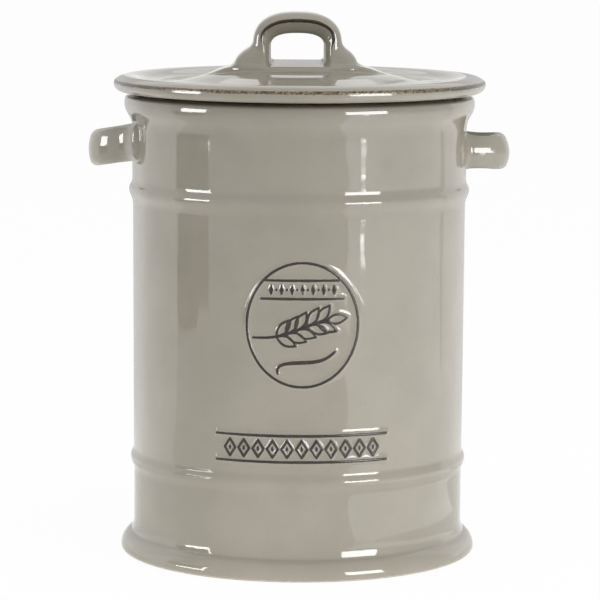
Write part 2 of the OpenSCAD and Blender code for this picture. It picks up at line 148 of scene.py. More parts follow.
# Camera: it stands in front of the jar, a little to the left and above the lid
PHOTO_SIDE_PX = 600
FOCAL_PX = 3210.0
CAMERA_DISTANCE, CAMERA_HEIGHT = 1417.0, 297.3
CAMERA_PITCH, CAMERA_TURN, CAMERA_AIM, CAMERA_ROLL = 7.485, 1.4, -0.016, -0.33

# Studio, in metres. Azimuth 0 is in front of the jar and 90 on its right. Lamps and fills light
# the object, and cards only show in its gloss
FLOOR_HALF, FLOOR_MIRROR = 12.0, 0.95
FILL_SIDE, FILL_TOP = 0.24, 1.0
GLOW_R, GLOW_Z, GLOW_RADIANCE = 0.28, 0.0005, 0.88
LAMP_AIM_Z = 0.12
LAMPS = [  # name, azimuth, distance, z, width, height, radiance
    ("left_lamp", -70, 1.4, 0.45, 0.6, 0.6, 3.0),
    ("right_lamp", 55, 1.4, 0.45, 0.8, 0.6, 5.1),
    ("top_lamp", 5, 0.75, 1.7, 1.0, 1.0, 1.75),
]
CARD_STEPS = 8
CARDS = [  # name, azimuths, low and high arc as distance and z, radiance at both azimuths
    ("left_softbox", (-83, -62.5), (1.40, 0.080), (1.40, 0.54), (16.0, 16.0)),
    ("right_softbox", (28.8, 54.7), (1.40, 0.100), (1.40, 0.54), (16.0, 16.0)),
    ("left_neck_flag", (-86.6, -60.4), (0.45, 0.121), (0.45, 0.160), (0.1, 0.0)),
    ("left_wall_flag", (-86.6, -70.0), (0.45, 0.054), (0.45, 0.121), (0.1, 0.0)),
    ("left_wall_flag_inner", (-70.0, -60.4), (0.45, 0.064), (0.45, 0.121), (0.0, 0.0)),
    ("right_table", (31, 110), (0.45, 0.002), (2.60, 0.002), (2.3, 1.7)),
    ("right_table_near", (29, 110), (0.14, 0.002), (0.45, 0.002), (2.2, 1.6)),
    ("back_panel", (125, 235), (1.60, 0.28), (1.60, 0.85), (0.95, 0.95)),
    ("back_softbox", (125, 235), (1.60, 0.85), (1.60, 3.0), (1.5, 1.5)),
]
SIDE_CARDS = [  # name, azimuths and radiances of a panel that stands on a stretch of table
    ("left_near", (-130, -88), (1.45, 1.5)),
    ("left_far", (-168, -130), (0.6, 1.5)),
    ("right_near", (110, 132), (1.6, 1.35)),
    ("right_far", (132, 168), (1.35, 0.6)),
]
SIDE_AT, SIDE_TOP_Z, SIDE_TABLE_AT, TABLE_Z = 0.50, 0.45, 0.24, 0.002
GAP_AT, GAP_AZIMUTHS = 0.70, (39.2, 42.2)
GAPS = [  # low z, high z and radiance of the window strips on the right
    (0.0545, 0.0722, 14.0), (0.0862, 0.0930, 14.0), (0.1100, 0.1180, 22.0),
    (0.1230, 0.1320, 9.0), (0.1385, 0.1430, 16.0),
]

# Colours, as linear light: where there are two, a noise blends them
GLAZE = (0.288, 0.268, 0.219), (0.260, 0.242, 0.196)
GLAZE_FLECK, GLAZE_POOLED = (0.17, 0.155, 0.12), (0.20, 0.19, 0.155)
WORN_BROWN = (0.005, 0.004, 0.003), (0.030, 0.022, 0.013)
# Lit gold of the lid's worn arris: a painted highlight over its brown wear
PAINTED_LIT_WEAR = (0.035, 0.024, 0.012), (0.20, 0.15, 0.085)
CLAY = (0.58, 0.52, 0.44), (0.48, 0.42, 0.34)
SILICONE = (0.74, 0.73, 0.69), (0.66, 0.65, 0.60)
PAPER = (0.90, 0.90, 0.90), (0.92, 0.92, 0.92)
WHITE = (1.0, 1.0, 1.0, 1.0)

# Noises of the glaze, by scale in blobs per metre
CLOUD, WAVES, PATCH = 28.0, 38.0, 60.0
PITS, BREAKUP, CLAY_GRAIN = 140.0, 320.0, 400.0
PEEL, FLECK, SPECK = 420.0, 650.0, 1100.0


# ------------------------ outlines

def swell(r0, z0, r1, z1, steps=16):
    """Arc that runs along Z at its start and passes through its end."""
    turn = 2 * math.atan((r0 - r1) / (z1 - z0))
    radius = (z1 - z0) / math.sin(turn)
    a = turn * np.arange(steps + 1) / steps
    return np.stack([r0 - radius * (1 - np.cos(a)), z0 + radius * np.sin(a)], 1)


def bow(r0, z0, r1, z1):
    """Arc that is level at its start and passes through its end."""
    return swell(z0, r0, z1, r1)[:, ::-1]


def upright_s(r0, z0, r1, z1, share):
    """S of two arcs that run along Z at both ends. The first takes its share of the way."""
    r, z = r0 + (r1 - r0) * share, z0 + (z1 - z0) * share
    return np.concatenate([swell(r0, z0, r, z), swell(r1, z1, r, z)[::-1]])


def level_s(r0, z0, r1, z1, share):
    """S of two arcs that is level at both ends."""
    return upright_s(z0, r0, z1, r1, share)[:, ::-1]


def rib(below_r, crest_r, above_r, z, fall, rise, share):
    """A rib round the wall, with a crest that takes its share of each flank."""
    low = upright_s(crest_r, z, below_r, z - fall, share)[::-1]
    return np.concatenate([low, upright_s(crest_r, z, above_r, z + rise, share)])


def walk(x, y, heading, moves, arc_step=4.0):
    """Points along straight runs (length, 0) and arcs (radius, turn in degrees)."""
    points = [(x, y)]
    for size, turn in moves:
        steps = max(int(abs(turn) / arc_step), 1)
        for _ in range(steps):
            half = math.radians(turn / steps / 2)
            length = 2 * size * math.sin(abs(half)) if turn else size
            heading += half
            x, y = x + length * math.cos(heading), y + length * math.sin(heading)
            heading += half
            points.append((x, y))
    return np.array(points)


def spaced(points, step):
    """The polyline with its points a step apart, and the length along it."""
    points = np.asarray(points, float)
    gap = np.hypot(*np.diff(points, axis=0).T)
    points = points[np.r_[True, gap > 1e-6]]
    along = np.r_[0, np.cumsum(np.hypot(*np.diff(points, axis=0).T))]
    count = max(int(along[-1] / step), 2)
    at = np.linspace(0, along[-1], count + 1)
    return np.stack([np.interp(at, along, points[:, k]) for k in (0, 1)], 1)


def softened(values, sigma):
    """Gaussian blur of a column of values, which keeps both ends in place."""
    reach = min(int(3 * sigma) + 1, len(values) - 1)
    kernel = np.exp(-0.5 * (np.arange(-reach, reach + 1) / sigma) ** 2)
    padded = np.pad(values, reach, mode="reflect", reflect_type="odd")
    return np.convolve(padded, kernel / kernel.sum(), "valid")


def outline(points, soft, turn=7.0, gap=2.0, step=0.1):
    """Rows of r, z, normal r, normal z and curvature along a glazed outline. Its corners are
    softened over soft millimetres. Rows lie closer together where it turns."""
    fine = spaced(points, step)
    r, z = (softened(fine[:, k], soft / step) for k in (0, 1))
    dr, dz = np.gradient(r), np.gradient(z)
    length = np.hypot(dr, dz)
    heading = np.unwrap(np.arctan2(dz, dr))
    bend = softened(np.gradient(heading) / length, 0.3 / step)
    effort = np.cumsum(length / gap + np.abs(np.gradient(heading)) / math.radians(turn))
    rows = np.unique(np.searchsorted(effort, np.arange(effort[0], effort[-1], 1.0)))
    rows = np.r_[rows, len(r) - 1] if rows[-1] < len(r) - 1 else rows
    return np.stack([r, z, dz / length, -dr / length, bend], 1)[rows]


# ------------------------ meshes

def make_piece(name, points, faces, normals, **values):
    """A mesh object from millimetres, with its own normals and a value per point for shaders."""
    mesh = bpy.data.meshes.new(name)
    mesh.from_pydata((np.asarray(points) * MM).tolist(), [], faces)
    mesh.shade_smooth()
    mesh.normals_split_custom_set_from_vertices(np.asarray(normals).tolist())
    for key, value in values.items():
        mesh.attributes.new(key, "FLOAT", "POINT").data.foreach_set("value", np.asarray(value, "f"))
    piece = bpy.data.objects.new(name, mesh)
    bpy.context.scene.collection.objects.link(piece)
    return piece


def turned_grid(rows, columns):
    """Points and normals of an outline turned round Z, row by row. The seam is at the back."""
    a = math.pi / 2 + 2 * math.pi * np.arange(columns) / columns
    c, s = np.cos(a)[None], np.sin(a)[None]
    r, z, nr, nz = (rows[:, k, None] for k in range(4))
    points = np.stack([r * c, r * s, z + 0 * c], 2)
    normals = np.stack([nr * c, nr * s, nz + 0 * c], 2)
    return points.reshape(-1, 3), normals.reshape(-1, 3)


def ring_faces(row_count, columns, closed=False):
    """Quads between the rows of a turned grid."""
    i = np.arange(row_count if closed else row_count - 1)[:, None]
    j = np.arange(columns)[None]
    k, up = (j + 1) % columns, (i + 1) % row_count
    quads = np.stack([i * columns + j, i * columns + k, up * columns + k, up * columns + j], 2)
    return quads.reshape(-1, 4)


def add_tips(points, normals, faces, rows, columns):
    """Closes a turned grid at both ends: points and normals with two more on the axis. The fans
    round those join the faces."""
    tip, last = len(points), (len(rows) - 1) * columns
    for j in range(columns):
        k = (j + 1) % columns
        faces.append((tip, k, j))
        faces.append((tip + 1, last + j, last + k))
    points = np.concatenate([points, [[0, 0, z] for z in rows[[0, -1], 1]]])
    normals = np.concatenate([normals, [[0, 0, up] for up in rows[[0, -1], 3]]])
    return points, normals


def turned_piece(name, rows, columns, closed=True, **values):
    """A piece turned from an outline, which may be a closed loop or start and end on the axis."""
    points, normals = turned_grid(rows, columns)
    faces = ring_faces(len(rows), columns, closed).tolist()
    bends = np.repeat(rows[:, 4], columns)
    if not closed:
        points, normals = add_tips(points, normals, faces, rows, columns)
        bends = np.r_[bends, 0, 0]
    return make_piece(name, points, faces, normals, bend=bends, **values)


# ------------------------ relief on the front

def stroke_capsules(path, widths):
    """A brush stroke along a path as tapered capsules: two ends and their radii each."""
    path, radii = np.asarray(path, float), np.asarray(widths, float) / 2
    return np.c_[path[:-1], path[1:], radii[:-1], radii[1:]]


def upright_stroke(x, y, height, widths):
    """A straight upright stroke round a point, with its widths from the foot to the top."""
    y = y + height * np.linspace(-0.5, 0.5, len(widths))
    return stroke_capsules(np.stack([np.full(len(y), x), y], 1), widths)


def smooth_path(corners):
    """Smooth curve near a row of corners."""
    fine = spaced(corners, 0.25)
    return np.stack([softened(fine[:, k], 4.0) for k in (0, 1)], 1)


def oval_strokes():
    a = np.linspace(0, 2 * np.pi, 73)
    ring = np.stack([(OVAL_W - RIDGE_W) / 2 * np.cos(a), (OVAL_H - RIDGE_W) / 2 * np.sin(a)], 1)
    return stroke_capsules(ring, np.full(len(a), LINE_W))


def rule_strokes(z, half):
    """A level line that swells in its middle."""
    return stroke_capsules([(-half, z), (0, z), (half, z)], RULE_WIDTHS)


def swash_strokes():
    """A curved flourish, thin at both ends."""
    path = spaced(smooth_path(SWASH), 0.5)
    return stroke_capsules(path, 0.3 + 0.5 * np.sin(np.pi * np.linspace(0, 1, len(path))))


def stem_path(steps):
    """Points along the wheat's stem, a wave that rises from end to end."""
    t = np.linspace(0, 1, steps + 1)
    x = (t - 0.5) * STEM_L + STEM_SHIFT[0]
    y = (t - 0.5) * STEM_RISE - STEM_BOW * np.sin(2 * np.pi * t) + STEM_SHIFT[1]
    return np.stack([x, y], 1)


def grain_strokes(root, heading):
    """A pointed grain, drawn by two curved strokes."""
    u = np.linspace(0, 1, 9)
    ahead = np.array([math.cos(heading), math.sin(heading)])
    aside = np.array([-ahead[1], ahead[0]])
    edges = []
    for side in (-1, 1):
        out = side * GRAIN_W / 2 * np.sin(np.pi * u)
        path = root + ahead * (GRAIN_L * u)[:, None] + aside * out[:, None]
        edges.append(stroke_capsules(path, np.full(len(u), GRAIN_LINE_W)))
    return np.concatenate(edges)


def wheat_strokes(steps=40, shown=33, first=0.26, span=0.56):
    """A stem with pairs of grains from its first share on, over a span of it, and one at its tip."""
    stem = stem_path(steps)
    parts = [stroke_capsules(stem[:shown], np.linspace(0.2, 0.9, shown))]
    for i in range(GRAIN_PAIRS + 1):
        k = int((first + span * i / GRAIN_PAIRS) * (steps - 1))
        ahead = stem[k + 1] - stem[k]
        for side in (-1, 1) if i < GRAIN_PAIRS else (0,):
            heading = math.atan2(ahead[1], ahead[0]) + side * math.radians(GRAIN_LEAN)
            parts.append(grain_strokes(stem[k], heading))
    return np.concatenate(parts)


def seed_strokes():
    """A row of upright seeds with a small bead between each two."""
    parts = []
    z, pitch = RULE_Z - RULE_GAP / 2, RULE_L / SEEDS
    for i in range(SEEDS):
        x = pitch * (i - (SEEDS - 1) / 2)
        parts.append(upright_stroke(x, z, SEED_H, SEED_WIDTHS))
        if i:
            parts.append(upright_stroke(x - pitch / 2, z, BEAD_H, BEAD_WIDTHS))
    return np.concatenate(parts)


def lozenge_strokes():
    """A row of lozenges with a pip in each."""
    parts = []
    w, h, pitch = LOZENGE_W / 2, LOZENGE_H / 2, BAND_L / (LOZENGES + 1)
    for i in range(LOZENGES):
        x = pitch * (i - (LOZENGES - 1) / 2)
        corners = [(x - w, 0), (x, -h), (x + w, 0), (x, h), (x - w, 0)]
        parts.append(stroke_capsules(corners, np.full(len(corners), LINE_W)))
        parts.append(upright_stroke(x, 0.0, PIP_H, PIP_WIDTHS))
    return np.concatenate(parts)


def capsule_distance(x, y, capsules, reach=5.0):
    """Signed distance of points to the nearest of a set of capsules, right within their reach."""
    best = np.full(x.shape, 99.0)
    for x0, y0, x1, y1, r0, r1 in capsules:
        dx, dy = x1 - x0, y1 - y0
        near = (x > min(x0, x1) - reach) & (x < max(x0, x1) + reach)
        near &= (y > min(y0, y1) - reach) & (y < max(y0, y1) + reach)
        px, py = x[near] - x0, y[near] - y0
        t = np.clip((px * dx + py * dy) / (dx * dx + dy * dy), 0, 1)
        d = np.hypot(px - t * dx, py - t * dy) - (r0 + (r1 - r0) * t)
        best[near] = np.minimum(best[near], d)
    return best


def mound(distance, reach):
    """1 on a stroke, falling off beside it."""
    return np.exp(-(np.maximum(distance, 0) / reach) ** 2)


class Relief:
    """A field of strong and fine strokes on the front: its height, and how bare of glaze it is."""

    def __init__(self, z, half_w, half_h, strong, fine):
        self.z, self.half_w, self.half_h = z, half_w, half_h
        self.strong, self.fine = strong, fine

    def distances(self, x, z):
        return [capsule_distance(x, z - self.z, strokes) for strokes in (self.strong, self.fine)]

    def height(self, x, z):
        strong, fine = self.distances(x, z)
        base = np.maximum(RIDGE_H * mound(strong, RIDGE_W), SLOPE_H * mound(fine, SLOPE_W))
        return base + CREST_H * mound(np.minimum(strong, fine), CREST_W)

    def bare(self, x, z):
        return mound(np.minimum(*self.distances(x, z)), STAIN_W)


ROUNDEL = Relief(
    OVAL_Z, OVAL_W / 2 + OVAL_MARGIN, OVAL_H / 2 + OVAL_MARGIN,
    np.concatenate([oval_strokes(), rule_strokes(RULE_Z, RULE_L / 2),
                    rule_strokes(RULE_Z - RULE_GAP, RULE_L / 2 + RULE_GROWTH)]),
    np.concatenate([wheat_strokes(), swash_strokes(), seed_strokes()]),
)
BAND = Relief(
    BAND_Z, BAND_L / 2 + BAND_MARGIN_L, BAND_W / 2 + BAND_MARGIN_W,
    np.concatenate([rule_strokes(BAND_W / 2, BAND_L / 2), rule_strokes(-BAND_W / 2, BAND_L / 2)]),
    lozenge_strokes(),
)


# ------------------------ jar

def jar_outline():
    """From the hollow under the foot, up the outside, over the rim and down to the floor."""
    points = np.concatenate([
        [[CENTRE_R, FOOT_HOLLOW], [RING_IN_R, FOOT_HOLLOW], [RING_IN_R, 0]],
        swell(FOOT_R, FOOT_BELLY_Z, RING_OUT_R, 0)[::-1],
        swell(FOOT_R, FOOT_BELLY_Z, CREASE_R, CREASE_Z),
        swell(PLINTH_R, PLINTH_Z, CREASE_R, CREASE_Z)[::-1],
        rib(PLINTH_R, LOW_RIB_R, WALL_R, LOW_RIB_Z, LOW_RIB_FALL, RIB_RISE, RIB_SHARE),
        rib(WALL_TOP_R, UP_RIB_R, NECK_R, UP_RIB_Z, UP_RIB_FALL, RIB_RISE, RIB_SHARE),
        upright_s(NECK_R, NECK_TOP_Z, RIM_R, RIM_BELLY_Z, NECK_SHARE),
        swell(RIM_R, RIM_BELLY_Z, RIM_EDGE_R, RIM_EDGE_Z),
        bow(RIM_LAND_R, RIM_LAND_Z, RIM_EDGE_R, RIM_EDGE_Z)[::-1],
        [[JAR_TOP_R, JAR_TOP_Z]],
        swell(BORE_R, JAR_TOP_Z - BORE_EDGE, BORE_TOP_R, JAR_TOP_Z)[::-1],
        swell(BORE_R, FLOOR_Z + FLOOR_FILLET, BORE_R - FLOOR_FILLET, FLOOR_Z),
        [[CENTRE_R, FLOOR_Z]],
    ])
    return outline(points, JAR_SOFT)


def patch_range(rows, columns, relief):
    """Rows and columns of the jar's grid that a relief lies in."""
    outer = np.arange(len(rows)) < np.argmax(rows[:, 1])
    z = np.where(outer, rows[:, 1], -1)
    inside = np.where((z > relief.z - relief.half_h) & (z < relief.z + relief.half_h))[0]
    half = int(math.ceil(relief.half_w / (2 * math.pi * WALL_R / columns)))
    return inside[0] - 1, inside[-1] + 1, columns // 2 - half, columns // 2 + half


def front_patch(rows, columns, relief, span, fold, d=0.06):
    """Fine grid over a relief: points, normals and bareness. Slopes are taken over d each way."""
    i0, i1, j0, j1 = span
    coarse = np.arange(i1 - i0 + 1)
    z = np.interp(np.arange((i1 - i0) * fold + 1) / fold, coarse, rows[i0:i1 + 1, 1])
    a = math.pi / 2 + 2 * math.pi * np.linspace(j0, j1, (j1 - j0) * fold + 1) / columns
    z, a = np.meshgrid(z, a, indexing="ij")
    x = (a - 1.5 * math.pi) * WALL_R
    slope_x = (relief.height(x + d, z) - relief.height(x - d, z)) / (2 * d)
    slope_z = (relief.height(x, z + d) - relief.height(x, z - d)) / (2 * d)
    wall = np.interp(z, rows[i0 - 1:i1 + 2, 1], rows[i0 - 1:i1 + 2, 0])
    r = wall + relief.height(x, z)
    c, s = np.cos(a), np.sin(a)
    points = np.stack([r * c, r * s, z], 2)
    normals = np.stack([c + slope_x * s, s - slope_x * c, -slope_z], 2)
    normals /= np.linalg.norm(normals, axis=2, keepdims=True)
    return points, normals, relief.bare(x, z)


def border(high, wide):
    """True along the four edges of a grid."""
    mask = np.zeros((high, wide), bool)
    mask[[0, -1]] = True
    mask[:, [0, -1]] = True
    return mask


def grid_faces(index):
    """Quads between points that are given by a grid of their numbers."""
    quads = np.stack([index[:-1, :-1], index[:-1, 1:], index[1:, 1:], index[1:, :-1]], 2)
    return quads.reshape(-1, 4).tolist()


def seam_points(index, fold):
    """The fine points on each coarse edge round a patch, by the edge's two ends."""
    seams = {}
    for line in (index[0], index[-1], index[:, 0], index[:, -1]):
        for k in range(0, len(line) - 1, fold):
            between = line[k + 1:k + fold].tolist()
            seams[(line[k], line[k + fold])] = between
            seams[(line[k + fold], line[k])] = between[::-1]
    return seams


def jar_piece(columns=240, fold=6):
    """The whole pot as one mesh, with fine grids where the front carries its relief."""
    rows = jar_outline()
    points, normals = turned_grid(rows, columns)
    groups = [(points, normals, np.zeros(len(points)), np.repeat(rows[:, 4], columns))]
    quads = ring_faces(len(rows), columns)
    cell_row, cell_column = quads[:, 0] // columns, quads[:, 0] % columns
    kept = np.ones(len(quads), bool)
    count, seams, faces = len(points), {}, []
    for relief in (ROUNDEL, BAND):
        i0, i1, j0, j1 = span = patch_range(rows, columns, relief)
        kept &= ~((cell_row >= i0) & (cell_row < i1) & (cell_column >= j0) & (cell_column < j1))
        fine, fine_normals, bare = front_patch(rows, columns, relief, span, fold)
        index = count + np.arange(bare.size).reshape(bare.shape)
        coarse = np.arange(i0, i1 + 1)[:, None] * columns + np.arange(j0, j1 + 1)
        shared = np.where(border(*coarse.shape), coarse, index[::fold, ::fold])
        index[::fold, ::fold] = shared
        faces += grid_faces(index)
        seams.update(seam_points(index, fold))
        groups.append((fine.reshape(-1, 3), fine_normals.reshape(-1, 3), bare.ravel(),
                       np.zeros(bare.size)))
        count += bare.size
    for quad in quads[kept].tolist():
        face = []
        for a, b in zip(quad, quad[1:] + quad[:1]):
            face += [a, *seams.get((a, b), [])]
        faces.append(face)
    points, normals, bare, bends = (np.concatenate(group) for group in zip(*groups))
    points, normals = add_tips(points, normals, faces, rows, columns)
    raw = np.clip((RAW_H - points[:, 2]) / RAW_FADE, 0, 1)
    piece = make_piece("jar_glazed", points, faces, normals, bend=np.r_[bends, 0, 0],
                       bare=np.r_[bare, 0, 0], raw=raw)
    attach(piece, "jar")
    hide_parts("jar_body", "front_roundel", "front_band")
    return piece


# ------------------------ modelled solids

def loop_distance(x, y, loop):
    """Signed distance in a plane to a closed loop of points, negative inside it."""
    x, y = np.broadcast_arrays(x, y)
    best = np.full(x.shape, 1e9)
    inside = np.zeros(x.shape, bool)
    for (x0, y0), (x1, y1) in zip(loop, np.roll(loop, -1, axis=0)):
        dx, dy = x1 - x0, y1 - y0
        if dx * dx + dy * dy < 1e-12:
            continue
        t = np.clip(((x - x0) * dx + (y - y0) * dy) / (dx * dx + dy * dy), 0, 1)
        best = np.minimum(best, (x - x0 - t * dx) ** 2 + (y - y0 - t * dy) ** 2)
        if y0 != y1:
            inside ^= ((y0 > y) != (y1 > y)) & (x < x0 + (y - y0) * dx / dy)
    return np.where(inside, -1, 1) * np.sqrt(best)


def joined(a, b, blend):
    """Union of two fields with a fillet between them."""
    h = np.clip(0.5 + 0.5 * (b - a) / blend, 0, 1)
    return b + (a - b) * h - blend * h * (1 - h)


def met(a, b, blend):
    """Intersection of two fields with a rounded edge between them."""
    return -joined(-a, -b, blend)


def strap_faces(hole, outer, across, half_width, edge, corner, crown, depth=6.5):
    """Inner and outer face of a strap between two outlines of its plane. The inner face turns out
    by edge over the depth next to its arris. The outer one is crowned and has a rounded corner."""
    across = np.abs(across)
    u = np.maximum(across - (half_width - depth), 0) / depth
    inner_face = (edge * u * u - hole) / np.sqrt(1 + (2 * edge / depth * u) ** 2)
    s = np.minimum(across / half_width, 1.6)
    p, q = across - (half_width - corner), outer + crown * s * s + corner
    outside = np.hypot(np.maximum(p, 0), np.maximum(q, 0))
    return inner_face, outside + np.minimum(np.maximum(p, q), 0) - corner


def surface_net(field, axes):
    """Points and quads of the zero surface of a field sampled on a grid."""
    inside = field < 0
    shape = tuple(n - 1 for n in field.shape)
    total, count = np.zeros(shape + (3,)), np.zeros(shape)
    corner = [slice(0, -1), slice(1, None)]
    for axis in range(3):
        others = [k for k in range(3) if k != axis]
        for u in (0, 1):
            for v in (0, 1):
                low, high = [None] * 3, [None] * 3
                low[axis], high[axis] = corner[0], corner[1]
                low[others[0]] = high[others[0]] = corner[u]
                low[others[1]] = high[others[1]] = corner[v]
                f0, f1 = field[tuple(low)], field[tuple(high)]
                crossed = inside[tuple(low)] != inside[tuple(high)]
                t = np.where(crossed, f0 / np.where(crossed, f0 - f1, 1), 0)
                place = np.zeros(shape + (3,))
                place[..., axis], place[..., others[0]], place[..., others[1]] = t, u, v
                total += place * crossed[..., None]
                count += crossed
    used = count > 0
    index = np.cumsum(used).reshape(shape) - 1
    cell = np.argwhere(used) + total[used] / count[used][:, None]
    points = np.stack([np.interp(cell[:, k], np.arange(len(axes[k])), axes[k]) for k in range(3)], 1)
    quads = []
    for axis in range(3):
        u, v = (axis + 1) % 3, (axis + 2) % 3
        low, high = [slice(1, -1)] * 3, [slice(1, -1)] * 3
        low[axis], high[axis] = corner
        a, b = inside[tuple(low)], inside[tuple(high)]
        for flip in (False, True):
            at = np.argwhere(b & ~a if flip else a & ~b) + 1
            at[:, axis] -= 1
            steps = [(0, 0), (-1, 0), (-1, -1), (0, -1)]
            ring = []
            for du, dv in steps[::-1] if flip else steps:
                near = at.copy()
                near[:, u] += du
                near[:, v] += dv
                ring.append(index[tuple(near.T)])
            quads.append(np.stack(ring, 1))
    return points, np.concatenate(quads)


def gradient(field, points, h):
    """Slope and curvature of a field at points, taken over h each way."""
    x, y, z = points.T
    pairs = [(field(x + h, y, z), field(x - h, y, z)),
             (field(x, y + h, z), field(x, y - h, z)),
             (field(x, y, z + h), field(x, y, z - h))]
    slope = np.stack([(a - b) / (2 * h) for a, b in pairs], 1)
    bend = (sum(a + b for a, b in pairs) - 6 * field(x, y, z)) / (h * h)
    return slope, bend


def modelled_piece(name, blended, cut, bare, low, high):
    """A piece from the zero surface of two fields: the blended shape, and the cut that bounds it.
    Normals and curvature come from the blended field wherever its own surface shows. bare says
    where the glaze runs off an arris."""
    fine, coarse, near = 0.05, 0.35, 0.02
    axes = [np.arange(low[k], high[k] + GRID_STEP, GRID_STEP) for k in range(3)]
    grid = np.meshgrid(*axes, indexing="ij", sparse=True)
    points, quads = surface_net(np.maximum(blended(*grid), cut(*grid)), axes)
    slope, _ = gradient(blended, points, fine)
    value = blended(*points.T)
    steep = np.maximum(np.linalg.norm(slope, axis=1), 0.3)
    shown = value > cut(*points.T) - near
    shift = np.where(shown & (np.abs(value) < GRID_STEP), value / steep ** 2, 0)
    points -= slope * shift[:, None]
    slope, _ = gradient(blended, points, fine)
    _, bend = gradient(blended, points, coarse)
    cut_slope, _ = gradient(cut, points, fine)
    normals = np.where(shown[:, None], slope, cut_slope)
    normals /= np.maximum(np.linalg.norm(normals, axis=1, keepdims=True), 1e-9)
    return make_piece(name, points, quads.tolist(), normals, bend=np.where(shown, bend, 0),
                      bare=np.where(shown, bare(*points.T), 0), raw=np.zeros(len(points)))


# ------------------------ lid, handle and seal

def lid_outline():
    """From the axis under the lid, round its flange, over its edge and back to the axis on top."""
    under = np.concatenate([
        [[CENTRE_R, UNDER_Z]],
        level_s(UNDER_R, UNDER_Z, FLANGE_IN_R, SEAT_Z, UNDER_SHARE),
        swell(FLANGE_IN_R, FLANGE_Z + FLANGE_ROUND, FLANGE_IN_R + FLANGE_ROUND, FLANGE_Z),
        swell(FLANGE_OUT_R, FLANGE_Z + FLANGE_ROUND, FLANGE_OUT_R - FLANGE_ROUND, FLANGE_Z)[::-1],
        [[FLANGE_OUT_R, GROOVE_LOW_Z], [GROOVE_R, GROOVE_LOW_Z]],
        [[GROOVE_R, GROOVE_TOP_Z], [FLANGE_OUT_R, GROOVE_TOP_Z], [FLANGE_OUT_R, SEAT_Z]],
        [[SEAT_OUT_R, SEAT_Z]],
    ])
    upper = np.concatenate([
        [[LID_UNDER_R, LID_UNDER_Z]],
        bow(LID_R - LID_TURN_IN, LID_UNDER_Z, LID_R, LID_UNDER_Z + LID_TURN_UP),
        [[LID_ARRIS_R, LID_ARRIS_Z]],
        bow(BEAD_R, BEAD_Z, LID_ARRIS_R, LID_ARRIS_Z)[::-1],
        level_s(BEAD_R, BEAD_Z, CHANNEL_R, CHANNEL_Z, 0.5),
        walk(CENTRE_R, TOP_Z, 0.0, TOP_ARCS)[::-1],
    ])
    return np.concatenate([outline(under, UNDER_SOFT), outline(upper, LID_SOFT, turn=5.0)])


def lid_piece(columns=288):
    """The lid without its handle. Its brown wear is painted lighter gold at the front and back, a
    painted highlight, and wider and darker at the sides, painted shade.
    """
    rows = lid_outline()
    raw = np.repeat((rows[:, 1] < FLANGE_Z + RAW_H).astype(float), columns)
    off_arris = np.hypot(rows[:, 0] - LID_ARRIS_R, rows[:, 1] - LID_ARRIS_Z)
    around = np.cos(4 * np.pi * np.arange(columns) / columns)
    reach = LID_WEAR_W - LID_WEAR_SHADE_SWING * around
    bare = np.exp(-(off_arris[:, None] / reach) ** 2)
    # Painted light: 1 at the front and back, where the wear is painted lit gold, 0 at the sides
    painted_gold_light = np.tile(0.5 + 0.5 * around, len(rows))
    values = {"bare": bare.ravel(), "raw": raw, "painted_gold_light": painted_gold_light}
    values = {key: np.r_[value, 0, 0] for key, value in values.items()}
    piece = turned_piece("lid_glazed", rows, columns, closed=False, **values)
    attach(piece, "lid")
    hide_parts("lid_disc")
    return piece


def superellipse(half_width, height, power, steps=40):
    """The upper half of a superellipse, from its right end to its left end."""
    a = np.linspace(0, np.pi, steps + 1)
    c, s = np.cos(a), np.sin(a)
    return np.stack([half_width * np.sign(c) * np.abs(c) ** (2 / power),
                     height * np.abs(s) ** (2 / power)], 1)


def arch_loop(width, top, below):
    """Closed outline of an arch on straight legs that end below."""
    arch = superellipse(width / 2, top - SPRING, ARCH_POWER) + [0, SPRING]
    return np.concatenate([[[width / 2, below]], arch, [[-width / 2, below]]])


def grip_loops(below=-6.0):
    """Outlines of the handle's hole, its arch and its feet, from the pad's top up."""
    v = np.linspace(0, 1, 17)
    sides = []
    for foot, sign in zip(GRIP_FOOT, (-1, 1)):
        side = GRIP_W / 2 + (foot - GRIP_W / 2) * (1 - v ** GRIP_FOOT_POWER)
        sides.append(np.concatenate([[[sign * foot, below]], np.stack([sign * side, SPRING * v], 1)]))
    feet = np.concatenate([sides[1], sides[0][::-1]])
    return arch_loop(HOLE_W, HOLE_TOP, below), arch_loop(GRIP_W, GRIP_H, below), feet


def pad_field(x, y, z):
    """The ridged oval pad that the handle stands on."""
    oval = (2 * np.abs(x) / PAD_L) ** PAD_POWER + (2 * np.abs(y) / PAD_Y) ** PAD_POWER
    q = (oval + 1e-9) ** (1 / PAD_POWER)
    side = np.hypot(x, y) * (1 - 1 / q)
    side = np.where(q < 0.2, -8.0, side)
    along = np.clip(1 - (np.abs(x) / RIDGE_X) ** RIDGE_POWERS[0], 0, 1)
    across = np.clip(1 - (np.abs(y) / RIDGE_Y) ** RIDGE_POWERS[1], 0, 1)
    fall = PAD_END_FALL * np.maximum(np.abs(x) - PAD_END_X, 0) ** 2
    top = RIDGE_FOOT + RIDGE_RISE * along * across - fall
    return met(0.95 * (z - top), side, PAD_ROUND)


